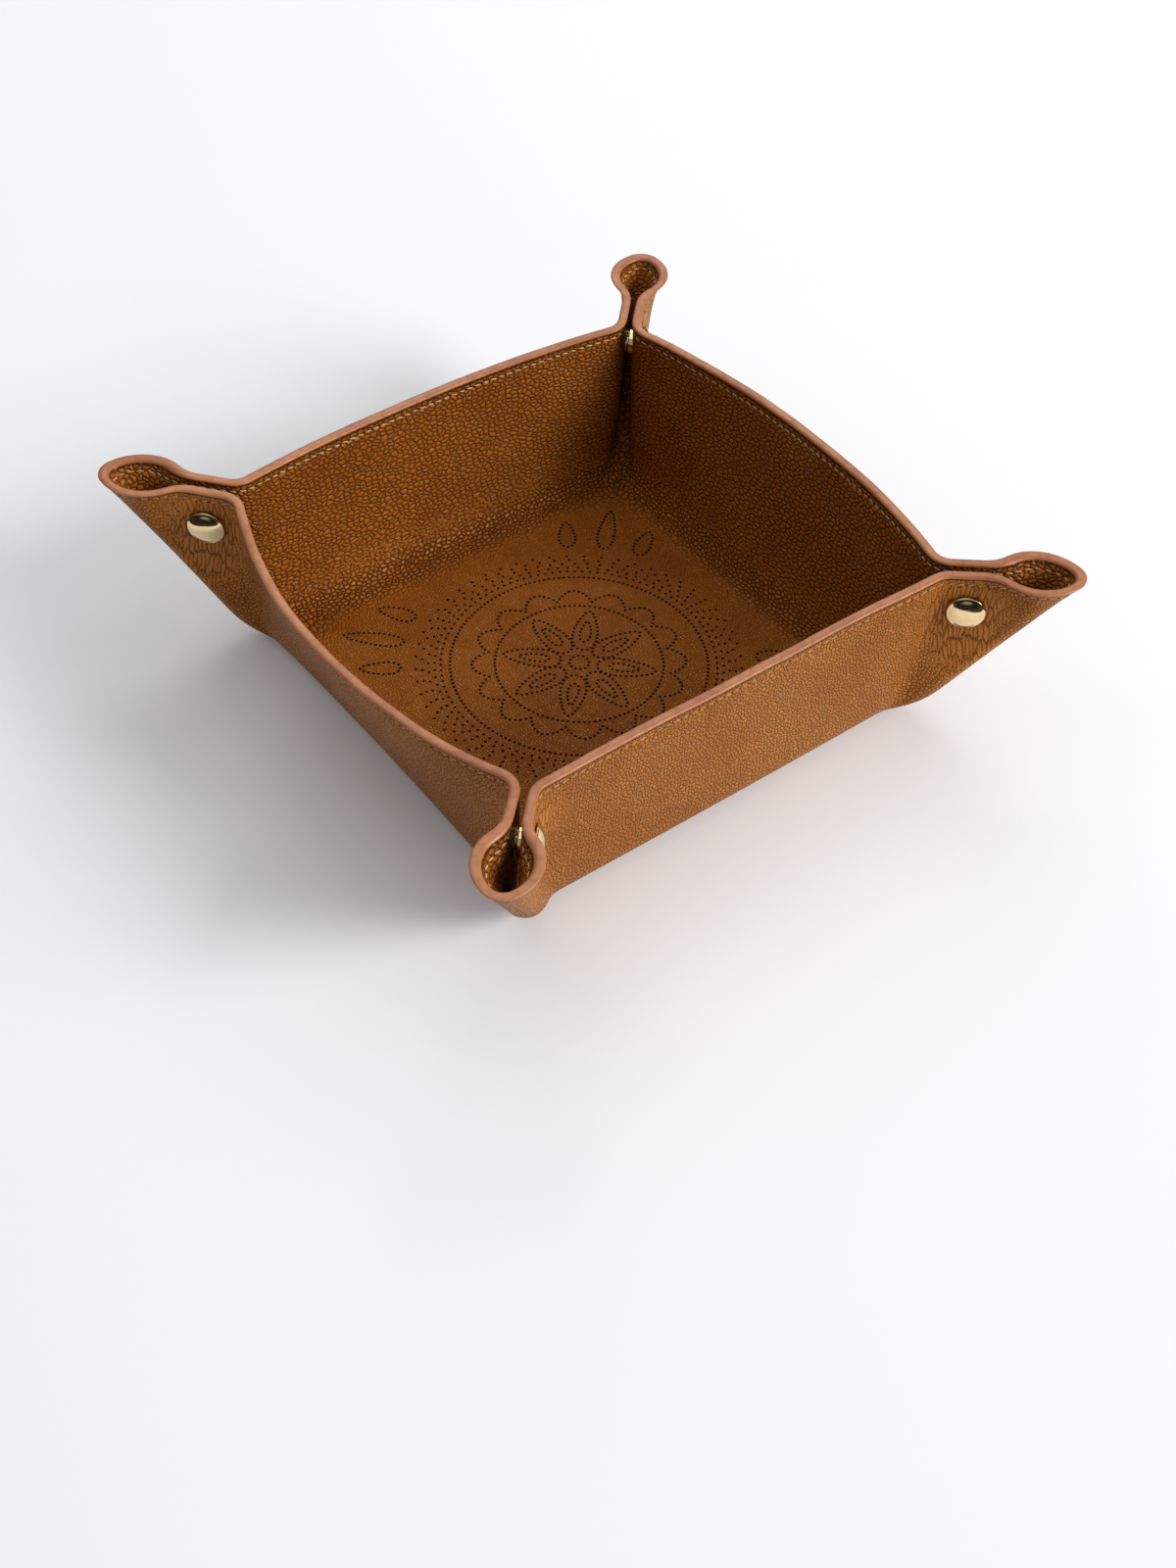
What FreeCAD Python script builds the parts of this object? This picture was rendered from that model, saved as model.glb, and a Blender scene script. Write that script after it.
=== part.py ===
import FreeCAD, Part
import math
import os

import Sketcher
from FreeCAD import Placement, Rotation, Vector

# A square valet tray: two hides glued back to back, pulled up into four walls by a press stud
# through each corner, so that the corners stand out as hollow ears. Origin at the middle of the
# underside, +Z up, the walls square to X and Y. Each ear has a fixed side, which carries the cap
# and the socket of its press stud, and a flap, which carries the stud and swings away to undo it.

doc = FreeCAD.newDocument("valet_tray")

# Driving sizes: millimetres, or degrees where the name ends in angle.
SIZES = [
    ("hide_outer", 1.4, "thickness of the outer hide"),
    ("hide_lining", 1.4, "thickness of the lining hide"),
    ("wall_foot", 77.5, "centre to the outside of a wall, at the top of the floor bend"),
    ("wall_head", 80.6, "the same at the top of the blank, before the rim is trimmed"),
    ("bend_radius", 12.0, "outside radius of the bend from floor to wall"),
    ("foot_corner_radius", 12.0, "plan radius of the flat floor's corners"),
    ("heel_corner_radius", 9.0, "plan radius of the corners half way round the bend"),
    ("blank_height", 61.0, "height of the wall blank before the rim is trimmed"),
    ("rim_low", 54.5, "height of the rim's dished trim on the tray's axis"),
    ("rim_dish_radius", 1239.0, "radius of the dished trim, which lets the ears rise"),
    ("front_bow_angle", -3.8, "angle of the front wall's end to its chord, at the blank's top"),
    ("right_bow_angle", 18.0, "the same for the right wall"),
    ("back_bow_angle", 12.0, "the same for the back wall"),
    ("left_bow_angle", 23.9, "the same for the left wall"),
    ("neck_radius", 6.0, "outside radius where a wall turns out into an ear"),
    ("ear_foot_reach", 116.4, "tray axis to the ear's fold, at the top of the floor bend"),
    ("ear_reach", 151.9, "tray axis to the ear's tip, at the blank's top"),
    ("heel_gap", 6.4, "gap between an ear's inner faces at the top of the floor bend"),
    ("snap_gap", 3.0, "gap between an ear's inner faces where the press stud closes it"),
    ("rim_gap", 2.4, "the same at the rim"),
    ("heel_neck", 0.9, "length of the ear's parallel stretch at the top of the floor bend"),
    ("low_neck_end", 124.6, "tray axis to the end of the parallel stretch, below the press stud"),
    ("high_neck_end", 125.6, "the same above the press stud"),
    ("rim_neck", 8.5, "length of the parallel stretch at the rim"),
    ("heel_tip_radius", 5.4, "outside radius of the ear's fold at the top of the floor bend"),
    ("low_tip_radius", 4.4, "the same below the press stud"),
    ("high_tip_radius", 5.2, "the same above the press stud"),
    ("rim_tip_radius", 7.2, "the same at the rim"),
    ("snap_reach", 118.3, "tray axis to the middle of a press stud"),
    ("snap_height", 46.4, "height of the middle of a press stud"),
    ("snap_pad", 7.0, "half height of the flat stretch under a press stud"),
    ("ear_cut", 102.0, "tray axis to the line where an ear is parted from the walls"),
    ("ear_side", 30.0, "how far to the side of the diagonal an ear can lie"),
    ("flap_cut", 112.0, "tray axis to the line where a flap starts to swing"),
    ("flap_side", 20.0, "how far to the side of the diagonal a flap can lie"),
    ("flap_clearance", 0.8, "gap between a flap and the fixed hide"),
    ("cap_radius", 6.0, "radius of the press stud's domed cap"),
    ("cap_edge", 0.5, "height of the cap's straight edge"),
    ("cap_height", 2.6, "height of the cap above the hide"),
    ("head_radius", 5.4, "radius of the domed head behind the stud"),
    ("head_edge", 0.4, "height of that head's straight edge"),
    ("head_height", 1.5, "height of that head above the hide"),
    ("rivet_radius", 1.2, "radius of the hollow rivet under a cap or head"),
    ("rivet_bore", 0.7, "radius of the rivet's bore"),
    ("rivet_web", 0.4, "how far the bore runs into the cap or head"),
    ("rivet_clearance", 0.05, "radial gap around a rivet"),
    ("socket_radius", 4.7, "outside radius of the socket"),
    ("socket_height", 2.1, "height of the socket on the lining"),
    ("socket_floor", 0.4, "thickness of the socket's floor"),
    ("socket_edge", 0.4, "chamfer round the socket's free end"),
    ("socket_mouth", 2.35, "radius of the socket's mouth"),
    ("groove_radius", 2.6, "radius of the groove that keeps the ring spring"),
    ("groove_low", 1.15, "height of the groove's lower side"),
    ("groove_high", 1.75, "height of the groove's upper side"),
    ("spring_radius", 2.22, "middle radius of the ring spring"),
    ("spring_wire", 0.27, "radius of the ring spring's wire"),
    ("spring_angle", 325.0, "how far round the open ring spring goes"),
    ("stud_flange_radius", 4.4, "radius of the stud's flange"),
    ("stud_flange", 0.6, "thickness of the stud's flange"),
    ("stud_neck", 1.75, "radius of the stud's neck, behind its bulb"),
    ("stud_neck_end", 1.5, "height of the neck's end above the lining"),
    ("stud_bulb", 2.0, "radius of the stud's bulb"),
    ("stud_bulb_middle", 1.9, "height of the bulb's widest place"),
    ("stud_nose", 1.6, "radius of the stud's nose"),
    ("stud_height", 2.4, "height of the stud above the lining"),
    ("stud_rivet_depth", 1.7, "how far the head's rivet runs into the stud"),
    ("overrun", 5.0, "how far a cutting tool runs past what it cuts"),
]

sheet = doc.addObject("Spreadsheet::Sheet", "sizes")
for row, (alias, number, note) in enumerate(SIZES, start=1):
    sheet.set(f"A{row}", note)
    sheet.set(f"B{row}", str(number))
    sheet.setAlias(f"B{row}", alias)
doc.recompute()


class Size:
    """A number from the sheet, together with the expression that gives it."""

    def __init__(self, value, text):
        self.value = value
        self.text = text

    def __add__(self, other):
        return Size(self.value + other.value, f"({self.text} + {other.text})")

    def __sub__(self, other):
        return Size(self.value - other.value, f"({self.text} - {other.text})")


def size(alias):
    return Size(float(sheet.get(alias)), f"sizes.{alias}")


def mm(alias):
    return size(alias).value


NOTHING = Size(0.0, "0")
HIDE = size("hide_outer") + size("hide_lining")

# The levels of the tray's shape, from the floor up: the flat floor's border, half way round the
# bend, the top of the bend, below and above the press studs, and the top of the blank.
BEND_LEVELS = ["foot", "heel", "heel_top"]
WALL_LEVELS = ["heel_top", "snap_low", "snap_high", "blank_top"]
# Shape of an ear, the same at every size: how far its sides flare, and how far the hide has
# turned back towards the fold where the bulb gives way to the tip.
FLARE_ANGLE = {"heel_top": 4.0, "snap_low": 8.0, "snap_high": 18.0, "blank_top": 40.0}
TIP_ANGLE = {"heel_top": -30.0, "snap_low": -34.0, "snap_high": -38.0, "blank_top": -50.0}
# How a plain rounded corner is divided, so that each stretch meets its own stretch of the ear:
# neck, parallel, flare, bulb, the tip, and the same back again.
CORNER_SHARES = [0.14, 0.05, 0.12, 0.13, 0.12, 0.13, 0.12, 0.05, 0.14]

WALLS = ["front", "right", "back", "left"]
CORNERS = ["front_left", "front_right", "back_right", "back_left"]
# The side of each ear, along its corner's v axis, that carries the cap and stays with the tray.
CAP_SIDE = {"front_left": 1, "front_right": -1, "back_right": -1, "back_left": 1}


def corner_frame(corner):
    """The corner's axes: u out along the diagonal, v square to it, z up."""
    turn = 225.0 + 90.0 * CORNERS.index(corner)
    return Placement(Vector(), Rotation(Vector(0, 0, 1), turn))


def level_height(level, inset=0.0):
    """Height of a level on a skin that lies inset from the outside face."""
    slope = math.cos(math.pi / 4)
    heights = {
        "foot": inset,
        "heel": mm("bend_radius") * (1 - slope) + inset * slope,
        "heel_top": mm("bend_radius"),
        "snap_low": mm("snap_height") - mm("snap_pad"),
        "snap_high": mm("snap_height") + mm("snap_pad"),
        "blank_top": mm("blank_height"),
    }
    return heights[level]


def climb(level):
    """Share of the wall's height, from the top of the bend to the top of the blank."""
    low = level_height("heel_top")
    return (level_height(level) - low) / (level_height("blank_top") - low)


def bow(wall, level):
    """Angle of a wall's end to its chord, which grows with the height."""
    return math.radians(mm(f"{wall}_bow_angle")) * climb(level)


def heading(angle):
    return Vector(math.cos(angle), math.sin(angle), 0)


def arc_points(start, angle_from, angle_to, radius):
    """Start, middle and end of an arc that leaves in one direction and arrives in another."""
    side = math.copysign(math.pi / 2, angle_to - angle_from)
    centre = start + heading(angle_from + side) * radius
    angles = [(angle_from + angle_to) / 2, angle_to]
    return [start] + [centre + heading(angle - side) * radius for angle in angles]


def half_ear(level, inset, wall):
    """Half an ear in its corner's axes, from the wall out to the tip on the side v > 0: lists of
    two points for a line and three for an arc."""
    share = climb(level)
    gap = {"heel_top": "heel_gap", "blank_top": "rim_gap"}.get(level, "snap_gap")
    half = mm(gap) / 2 + HIDE.value
    wall_half = mm("wall_foot") + (mm("wall_head") - mm("wall_foot")) * share
    start = wall_half * math.sqrt(2) + mm("neck_radius") * (math.sqrt(2) - 1) - half
    end = {
        "heel_top": start + mm("heel_neck"),
        "snap_low": mm("low_neck_end"),
        "snap_high": mm("high_neck_end"),
        "blank_top": start + mm("rim_neck"),
    }[level]
    tip = {
        "heel_top": mm("heel_tip_radius"),
        "snap_low": mm("low_tip_radius"),
        "snap_high": mm("high_tip_radius"),
        "blank_top": mm("rim_tip_radius"),
    }[level]
    reach = mm("ear_foot_reach") + (mm("ear_reach") - mm("ear_foot_reach")) * share
    flare = math.radians(FLARE_ANGLE[level])
    turn = math.radians(TIP_ANGLE[level])
    # Radii of the flare and of the bulb on the outside face, from two linear conditions: the tip
    # lies on the diagonal, and at the ear's reach.
    a1, b1 = 1 - math.cos(flare), math.cos(turn) - math.cos(flare)
    a2, b2 = math.sin(flare), math.sin(flare) - math.sin(turn)
    c1 = tip * math.cos(turn) - half
    c2 = reach - end - tip * (1 + math.sin(turn))
    flare_radius = (c1 * b2 - c2 * b1) / (a1 * b2 - a2 * b1)
    bulb_radius = (a1 * c2 - a2 * c1) / (a1 * b2 - a2 * b1)
    neck_angle = math.radians(45.0) + bow(wall, level)
    neck_radius = mm("neck_radius") + inset
    side = half - inset
    first = Vector(start, side, 0)
    first += Vector(-math.sin(neck_angle), 1 - math.cos(neck_angle), 0) * neck_radius
    neck = arc_points(first, -neck_angle, 0.0, neck_radius)
    parallel = [neck[-1], Vector(end, side, 0)]
    flared = arc_points(parallel[-1], 0.0, flare, flare_radius + inset)
    bulb = arc_points(flared[-1], flare, turn, bulb_radius - inset)
    return [neck, parallel, flared, bulb], Vector(reach - inset, 0, 0)


def ear_corner(number, level, inset):
    """An ear's stretches in its corner's axes: out on the side v < 0, round the tip and back."""
    going, tip = half_ear(level, inset, WALLS[number - 1])
    coming, tip = half_ear(level, inset, WALLS[number])
    out = [[Vector(p.x, -p.y, 0) for p in stretch] for stretch in going]
    back = [stretch[::-1] for stretch in coming[::-1]]
    return out + [[out[-1][-1], tip, back[0][0]]] + back


def plain_corner(number, level, inset):
    """A rounded floor corner, divided into as many stretches as an ear has."""
    if level == "foot":
        half = mm("wall_foot") - mm("bend_radius")
        radius = mm("foot_corner_radius")
    else:
        lean = math.sin(math.pi / 4)
        half = mm("wall_foot") - mm("bend_radius") * (1 - lean) - inset * lean
        radius = mm("heel_corner_radius") - inset * lean
    centre = Vector((half - radius) * math.sqrt(2), 0, 0)
    stretches = []
    done = 0.0
    for share in CORNER_SHARES:
        turns = [done, done + share / 2, done + share]
        angles = [math.radians(90.0 * turn - 45.0) for turn in turns]
        stretches.append([centre + heading(angle) * radius for angle in angles])
        done += share
    return stretches


def outline(level, inset):
    """One closed wire of the tray at a level, anticlockwise from above."""
    corner_of = plain_corner if level in ("foot", "heel") else ear_corner
    lift = Vector(0, 0, level_height(level, inset))
    corners = []
    for number, corner in enumerate(CORNERS):
        frame = corner_frame(corner)
        stretches = corner_of(number, level, inset)
        corners.append([[frame.multVec(p) + lift for p in stretch] for stretch in stretches])
    path = []
    for number, wall in enumerate(WALLS):
        start = corners[number][-1][-1]
        end = corners[(number + 1) % len(CORNERS)][0][0]
        angle = 0.0 if corner_of is plain_corner else bow(wall, level)
        chord = end - start
        outward = chord.cross(Vector(0, 0, 1)).normalize()
        middle = (start + end) / 2 + outward * (chord.Length / 2 * math.tan(angle / 2))
        path += corners[number]
        path.append([start, middle, end] if angle else [start, end])
    edges = []
    for stretch in path:
        curve = Part.Arc(*stretch) if len(stretch) == 3 else Part.LineSegment(*stretch)
        edges.append(curve.toShape())
    return Part.Wire(edges)


def feature(kind, label, **values):
    """A document object with its values: sizes are bound to the sheet, the rest are set."""
    made = doc.addObject(kind, label)
    for name, value in values.items():
        if isinstance(value, Size):
            made.setExpression(name, value.text)
        else:
            setattr(made, name, value)
    return made


def block(label, inset):
    """Everything inside one skin of the tray, as a solid."""
    sections = {}
    for level in BEND_LEVELS + WALL_LEVELS[1:]:
        sections[level] = feature("Part::Feature", f"{label}_{level}", Shape=outline(level, inset))
    bend = feature("Part::Loft", f"{label}_bend", Solid=True, Ruled=False,
                   Sections=[sections[level] for level in BEND_LEVELS])
    wall = feature("Part::Loft", f"{label}_wall", Solid=True, Ruled=True,
                   Sections=[sections[level] for level in WALL_LEVELS])
    return feature("Part::Fuse", f"{label}_block", Base=bend, Tool=wall)


outside = block("outside", 0.0)
middle = block("middle", mm("hide_outer"))
inside = block("inside", HIDE.value)

# The rim is trimmed by the bottom of a very large ball, so that it dips along the walls.
dish = feature("Part::Sphere", "rim_dish", Radius=size("rim_dish_radius"))
dish.setExpression("Placement.Base.z", (size("rim_low") + size("rim_dish_radius")).text)


def local_placement(corner, base, direction=None):
    """A place in a corner's axes, with the piece's own Z along a direction in those axes."""
    turn = Rotation() if direction is None else Rotation(Vector(0, 0, 1), direction)
    return corner_frame(corner).multiply(Placement(base, turn))


def snap_point(side_offset):
    return Vector(mm("snap_reach"), side_offset, mm("snap_height"))


bores = {}
ear_tools = {}
flap_tools = {}
relief_tools = {}
for corner in CORNERS:
    bore = feature("Part::Cylinder", f"bore_{corner}",
                   Radius=size("rivet_radius") + size("rivet_clearance"),
                   Height=size("flap_side") + size("flap_side"))
    bore.Placement = local_placement(corner, snap_point(-mm("flap_side")), Vector(0, 1, 0))
    bores[corner] = bore
    ear_tool = feature("Part::Box", f"ear_tool_{corner}",
                       Length=size("ear_reach") + size("overrun") - size("ear_cut"),
                       Width=size("ear_side") + size("ear_side"),
                       Height=size("blank_height") + size("overrun"))
    ear_tool.Placement = local_placement(corner, Vector(mm("ear_cut"), -mm("ear_side"), 0))
    ear_tools[corner] = ear_tool
    # The tool that takes a flap out of its ear, and the larger one that leaves it room.
    clear = mm("flap_clearance")
    flap_side = -CAP_SIDE[corner]
    tool = feature("Part::Box", f"flap_tool_{corner}",
                   Length=size("ear_reach") + size("overrun") - size("flap_cut"),
                   Width=size("flap_side"), Height=size("blank_height") + size("overrun"))
    near = clear / 2 if flap_side > 0 else -clear / 2 - mm("flap_side")
    tool.Placement = local_placement(corner, Vector(mm("flap_cut"), near, 0))
    flap_tools[corner] = tool
    relief = feature("Part::Box", f"relief_tool_{corner}",
                     Length=size("ear_reach") + size("overrun") - size("flap_cut"),
                     Width=size("flap_side"), Height=size("blank_height") + size("overrun"))
    near = -clear / 2 if flap_side > 0 else clear / 2 - mm("flap_side")
    relief.Placement = local_placement(corner, Vector(mm("flap_cut") - clear, near, 0))
    relief_tools[corner] = relief

all_ears = feature("Part::MultiFuse", "all_ears", Shapes=list(ear_tools.values()))

nodes = []


def node(made, label):
    made.Label = label
    nodes.append(made)
    return made


for name, outer, inner in [("outer", outside, middle), ("lining", middle, inside)]:
    skin = feature("Part::Cut", f"{name}_skin", Base=outer, Tool=inner)
    trimmed = feature("Part::Cut", f"{name}_trimmed", Base=skin, Tool=dish)
    main = feature("Part::Cut", f"{name}_main", Base=trimmed, Tool=all_ears)
    node(main, f"{name}_leather")
    for corner in CORNERS:
        whole = feature("Part::Common", f"{name}_whole_{corner}", Base=trimmed, Tool=ear_tools[corner])
        bored = feature("Part::Cut", f"{name}_bored_{corner}", Base=whole, Tool=bores[corner])
        ear = feature("Part::Cut", f"{name}_fixed_{corner}", Base=bored, Tool=relief_tools[corner])
        flap = feature("Part::Common", f"{name}_free_{corner}", Base=bored, Tool=flap_tools[corner])
        node(ear, f"{name}_ear_{corner}")
        node(flap, f"{name}_flap_{corner}")


def turned(label, profile, placement):
    """A body turned about its own Z from a closed profile of (radius, height) sizes. A corner
    marked dome is followed by an arc centred on the axis."""
    body = doc.addObject("PartDesign::Body", label)
    plane = [f for f in body.Origin.OriginFeatures if f.Role == "XZ_Plane"][0]
    sketch = body.newObject("Sketcher::SketchObject", f"{label}_profile")
    sketch.AttachmentSupport = [(plane, "")]
    sketch.MapMode = "FlatFace"
    corners = [Vector(r.value, h.value, 0) for r, h, *mark in profile]
    count = len(profile)
    for i, (radius, height, *mark) in enumerate(profile):
        here, there = corners[i], corners[(i + 1) % count]
        if mark:
            # Centre of the circle through both corners that stands on the axis.
            rise = there.y - here.y
            middle_height = (there.y ** 2 - here.y ** 2 - here.x ** 2 + there.x ** 2) / (2 * rise)
            centre = Vector(0, middle_height, 0)
            circle = Part.Circle(centre, Vector(0, 0, 1), (here - centre).Length)
            angles = [math.atan2(p.y - centre.y, p.x) for p in (here, there)]
            sketch.addGeometry(Part.ArcOfCircle(circle, *angles))
        else:
            sketch.addGeometry(Part.LineSegment(here, there))
    for i, (radius, height, *mark) in enumerate(profile):
        sketch.addConstraint(Sketcher.Constraint("Coincident", i, 2, (i + 1) % count, 1))
        for kind, axis, wanted in [("DistanceX", -2, radius), ("DistanceY", -1, height)]:
            if wanted is NOTHING:
                sketch.addConstraint(Sketcher.Constraint("PointOnObject", i, 1, axis))
                continue
            rule = Sketcher.Constraint(kind, -1, 1, i, 1, wanted.value)
            index = sketch.addConstraint(rule)
            sketch.setExpression(f"Constraints[{index}]", wanted.text)
        if mark:
            sketch.addConstraint(Sketcher.Constraint("PointOnObject", i, 3, -2))
    turn = body.newObject("PartDesign::Revolution", f"{label}_turn")
    turn.Profile = sketch
    turn.ReferenceAxis = (sketch, ["V_Axis"])
    turn.Angle = 360.0
    body.Placement = placement
    return node(body, label)


def domed(kind, rivet_length):
    """Profile of a domed cap on its hollow rivet, from the rivet's end."""
    face = rivet_length
    web = face + size("rivet_web")
    return [
        (size("rivet_bore"), NOTHING),
        (size("rivet_radius"), NOTHING),
        (size("rivet_radius"), face),
        (size(f"{kind}_radius"), face),
        (size(f"{kind}_radius"), face + size(f"{kind}_edge"), "dome"),
        (NOTHING, face + size(f"{kind}_height")),
        (NOTHING, web),
        (size("rivet_bore"), web),
    ]


rivet_hole = size("rivet_radius") + size("rivet_clearance")
socket_profile = [
    (rivet_hole, NOTHING),
    (size("socket_radius"), NOTHING),
    (size("socket_radius"), size("socket_height") - size("socket_edge")),
    (size("socket_radius") - size("socket_edge"), size("socket_height")),
    (size("socket_mouth"), size("socket_height")),
    (size("socket_mouth"), size("groove_high")),
    (size("groove_radius"), size("groove_high")),
    (size("groove_radius"), size("groove_low")),
    (size("socket_mouth"), size("groove_low")),
    (size("socket_mouth"), size("socket_floor")),
    (rivet_hole, size("socket_floor")),
]
stud_profile = [
    (rivet_hole, NOTHING),
    (size("stud_flange_radius"), NOTHING),
    (size("stud_flange_radius"), size("stud_flange")),
    (size("stud_neck"), size("stud_flange")),
    (size("stud_neck"), size("stud_neck_end")),
    (size("stud_bulb"), size("stud_bulb_middle")),
    (size("stud_nose"), size("stud_height")),
    (rivet_hole, size("stud_height")),
]
cap_profile = domed("cap", HIDE + size("socket_floor"))
head_profile = domed("head", HIDE + size("stud_rivet_depth"))

for corner in CORNERS:
    # Distances from the diagonal plane towards the cap, along the snap's axis.
    cap_way = Vector(0, CAP_SIDE[corner], 0)
    face = mm("snap_gap") / 2

    def at(distance):
        return snap_point(CAP_SIDE[corner] * distance)

    turned(f"snap_cap_{corner}", cap_profile,
           local_placement(corner, at(face - mm("socket_floor")), cap_way))
    turned(f"snap_socket_{corner}", socket_profile,
           local_placement(corner, at(face), cap_way * -1))
    spring = feature("Part::Torus", f"spring_{corner}", Radius1=size("spring_radius"),
                     Radius2=size("spring_wire"), Angle3=size("spring_angle"))
    spring_height = (mm("groove_low") + mm("groove_high")) / 2
    spring.Placement = local_placement(corner, at(face - spring_height), cap_way * -1)
    node(spring, f"snap_spring_{corner}")
    turned(f"snap_stud_{corner}", stud_profile,
           local_placement(corner, at(-face), cap_way))
    turned(f"snap_head_{corner}", head_profile,
           local_placement(corner, at(mm("stud_rivet_depth") - face), cap_way * -1))

doc.recompute()
for made in doc.Objects:
    if "Invalid" in made.State or "Error" in made.State:
        raise RuntimeError(f"{made.Label} did not recompute")
for made in nodes:
    if made.Shape.isNull() or not made.Shape.isValid() or not made.Shape.Solids:
        raise RuntimeError(f"{made.Label} has no valid solid")

os.makedirs("parts", exist_ok=True)
for made in nodes:
    made.Shape.exportStep(f"parts/{made.Label}.step")
    box = made.Shape.BoundBox
    print(made.Label, len(made.Shape.Solids), round(made.Shape.Volume, 1), box)
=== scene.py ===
# %% [markdown]
# # A leather valet tray, made in Blender
# The tray is two hides glued back to back, pulled up into four walls by a press stud through each
# corner. The CAD model gives the frame: where every piece lies and which ones move. This lesson
# dresses it: soft hides with a pebble grain, a painted edge, sewn seams, pierced dots and brass.

# %% Load the frame
import math

import bmesh
import bpy
import numpy as np
from mathutils import Matrix, Vector, noise


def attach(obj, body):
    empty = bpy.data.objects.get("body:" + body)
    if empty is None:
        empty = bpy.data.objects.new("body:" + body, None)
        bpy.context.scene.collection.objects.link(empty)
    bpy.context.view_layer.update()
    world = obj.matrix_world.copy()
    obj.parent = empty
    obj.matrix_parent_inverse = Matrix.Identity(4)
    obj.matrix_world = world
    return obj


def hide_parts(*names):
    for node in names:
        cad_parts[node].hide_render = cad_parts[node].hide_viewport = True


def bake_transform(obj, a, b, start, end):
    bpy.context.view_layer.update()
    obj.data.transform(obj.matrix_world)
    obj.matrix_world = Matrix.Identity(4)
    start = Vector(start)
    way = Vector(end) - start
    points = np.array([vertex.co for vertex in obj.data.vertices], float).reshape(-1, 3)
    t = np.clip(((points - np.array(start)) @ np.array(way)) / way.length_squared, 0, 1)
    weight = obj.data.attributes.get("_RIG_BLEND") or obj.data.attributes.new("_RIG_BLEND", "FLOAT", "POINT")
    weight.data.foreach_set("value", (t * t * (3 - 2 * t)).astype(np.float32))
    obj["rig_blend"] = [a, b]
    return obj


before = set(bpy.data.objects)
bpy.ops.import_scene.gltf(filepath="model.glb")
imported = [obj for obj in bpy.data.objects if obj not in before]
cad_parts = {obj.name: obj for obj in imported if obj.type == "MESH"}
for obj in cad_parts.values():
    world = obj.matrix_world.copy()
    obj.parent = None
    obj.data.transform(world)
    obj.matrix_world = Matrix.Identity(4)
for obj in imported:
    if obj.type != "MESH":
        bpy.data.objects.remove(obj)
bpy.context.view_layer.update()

# %% [markdown]
# ## Sizes
# Everything is in metres, as the frame is. The sizes are those of the CAD model. A hide's shape is
# told by its plan outline at four levels: the top of the floor bend, just below the press studs,
# just above them, and the top of the blank.

# %% Sizes of the tray
MM = 0.001
HIDE = 1.4 * MM                     # thickness of one hide
BOTH_HIDES = 2 * HIDE
BEND_TOP = 12.0 * MM                # height where the floor bend ends and the wall starts
BLANK_TOP = 61.0 * MM               # height of the wall before its rim is trimmed
SNAP_HEIGHT = 46.4 * MM
SNAP_PAD = 7.0 * MM                 # the ear is pinched flat this far above and below the stud
SNAP_REACH = 118.3 * MM             # tray axis to the middle of a press stud
SNAP_GAP = 3.0 * MM                 # between the ear's inner faces at the stud
WALL_FOOT = 77.5 * MM               # tray axis to a wall's outside, at the bend and at the top
WALL_HEAD = 80.6 * MM
NECK_RADIUS = 6.0 * MM
EAR_FOOT_REACH = 116.4 * MM         # tray axis to the ear's fold, at the bend and at the top
EAR_REACH = 151.9 * MM
FLOOR_HALF = WALL_FOOT - BEND_TOP   # the flat floor, to where the bend starts
FLOOR_CORNER = 12.0 * MM
RIM_LOW = 54.5 * MM                 # the rim is trimmed by a large ball that dips to this height
RIM_DISH = 1239.0 * MM
BOW_ANGLE = {"front": -3.8, "right": 18.0, "back": 12.0, "left": 23.9}
WALLS = ["front", "right", "back", "left"]
CORNERS = ["front_left", "front_right", "back_right", "back_left"]
CAP_SIDE = {"front_left": 1, "front_right": -1, "back_right": -1, "back_left": 1}
LEVELS = np.array([BEND_TOP, SNAP_HEIGHT - SNAP_PAD, SNAP_HEIGHT + SNAP_PAD, BLANK_TOP])
# One value for each level: the gap inside the ear, its tip's radius, and the turns of flare and tip.
EAR_GAP = np.array([6.4, 3.0, 3.0, 2.4]) * MM
TIP_RADIUS = np.array([5.4, 4.4, 5.2, 7.2]) * MM
FLARE_ANGLE = np.radians([4.0, 8.0, 18.0, 40.0])
TIP_ANGLE = np.radians([-30.0, -34.0, -38.0, -50.0])
NECK_START = (math.sqrt(2) * np.array([WALL_FOOT, WALL_HEAD]) + NECK_RADIUS * (math.sqrt(2) - 1)
              - EAR_GAP[[0, 3]] / 2 - BOTH_HIDES)     # the ear's neck, at the bend and at the top
# Where the straight part after the neck ends, at each level.
NECK_END = np.array([NECK_START[0] + 0.9 * MM, 124.6 * MM, 125.6 * MM, NECK_START[1] + 8.5 * MM])

# %% [markdown]
# ## The plan outline
# At any height the outline is a chain of tangent arcs. From a wall it turns out round the neck,
# runs straight where the stud pinches the ear flat, flares, swells into a bulb and closes round the
# tip. The CAD model gives the chain at four levels. Here each size of the chain follows a smooth
# curve through its four values, so the hide has no crease between the levels.

# %% A smooth curve through the four levels
def through_levels(values, height):
    """Monotone cubic through one value per level, read at any heights."""
    step = np.diff(LEVELS)
    rise = np.diff(values) / step
    slope = np.concatenate([rise[:1], np.zeros(2), rise[-1:]])
    for i in (1, 2):
        if rise[i - 1] * rise[i] > 0:
            near, far = 2 * step[i] + step[i - 1], step[i] + 2 * step[i - 1]
            slope[i] = (near + far) / (near / rise[i - 1] + far / rise[i])
    i = np.clip(np.searchsorted(LEVELS, height) - 1, 0, 2)
    t = (height - LEVELS[i]) / step[i]
    low = (1 + 2 * t) * values[i] + t * step[i] * slope[i]
    high = (3 - 2 * t) * values[i + 1] + (t - 1) * step[i] * slope[i + 1]
    return low * (1 - t) ** 2 + high * t ** 2


def climb(height):
    return (height - BEND_TOP) / (BLANK_TOP - BEND_TOP)


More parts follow.
